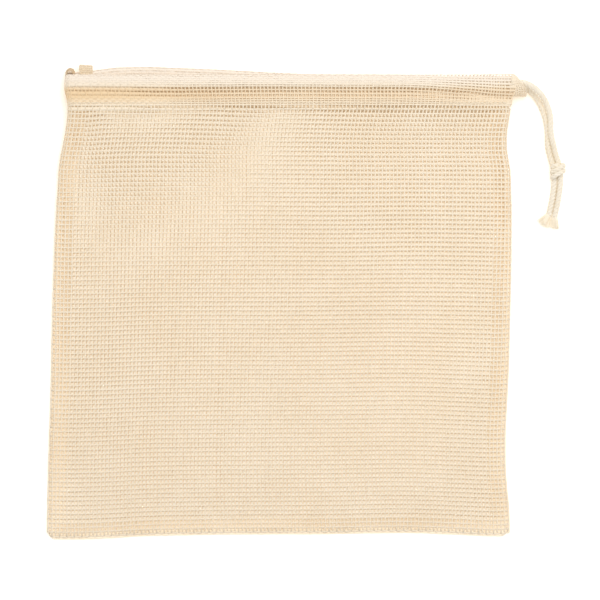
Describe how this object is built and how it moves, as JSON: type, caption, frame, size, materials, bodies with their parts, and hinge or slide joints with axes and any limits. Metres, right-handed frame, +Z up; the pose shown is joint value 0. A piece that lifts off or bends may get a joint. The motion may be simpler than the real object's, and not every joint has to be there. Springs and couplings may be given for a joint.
{
  "type": "mesh produce bag",
  "caption": "Flat cotton mesh bag with a sewn casing at the mouth and a drawstring cord tied in an overhand knot with frayed ends.",
  "frame": {"origin": "middle of the bag's underside, as it lies flat, without the cord's free ends", "axes": "+Z up through the flat bag, +Y towards the mouth, +X towards the side where the drawstring comes out"},
  "size_m": [0.3381, 0.3094, 0.0167],
  "materials": {
    "mesh_cloth": "matte",
    "seam_cloth": "matte",
    "sewing_thread": "satin",
    "cotton_cord": "matte",
    "frayed_cotton": "matte"
  },
  "bodies": {
    "bag": {"back_panel": "mesh_cloth", "front_panel": "mesh_cloth", "front_casing": "mesh_cloth", "back_casing": "mesh_cloth", "left_side_seam": "seam_cloth", "right_side_seam": "seam_cloth", "bottom_seam": "seam_cloth", "left_seam_thread": "sewing_thread", "right_seam_thread": "sewing_thread", "bottom_seam_thread": "sewing_thread", "front_hem_stitching": "sewing_thread", "back_hem_stitching": "sewing_thread"},
    "drawstring": {"drawstring_front_run": "cotton_cord", "drawstring_back_run": "cotton_cord", "drawstring_turn": "cotton_cord", "exit_cord_a": "cotton_cord", "exit_cord_b": "cotton_cord"},
    "free_ends": {"free_cord_a": "cotton_cord", "free_cord_b": "cotton_cord", "stopper_knot": "cotton_cord", "cord_tail_a": "cotton_cord", "cord_tail_b": "cotton_cord", "frayed_end_a": "frayed_cotton", "frayed_end_b": "frayed_cotton"}
  },
  "joints": [
    {"name": "drawstring_pull", "type": "slide", "parent": "bag", "child": "drawstring", "axis": [1, 0, 0], "range_m": [0, 0.19], "deforming": ["drawstring_turn"]},
    {"name": "free_end_swing", "type": "hinge", "parent": "drawstring", "child": "free_ends", "pos_m": [0.1608, 0.1379, 0], "axis": [0, 0, 1], "range_deg": [-10, 90], "deforming": ["exit_cord_a", "exit_cord_b"]}
  ]
}
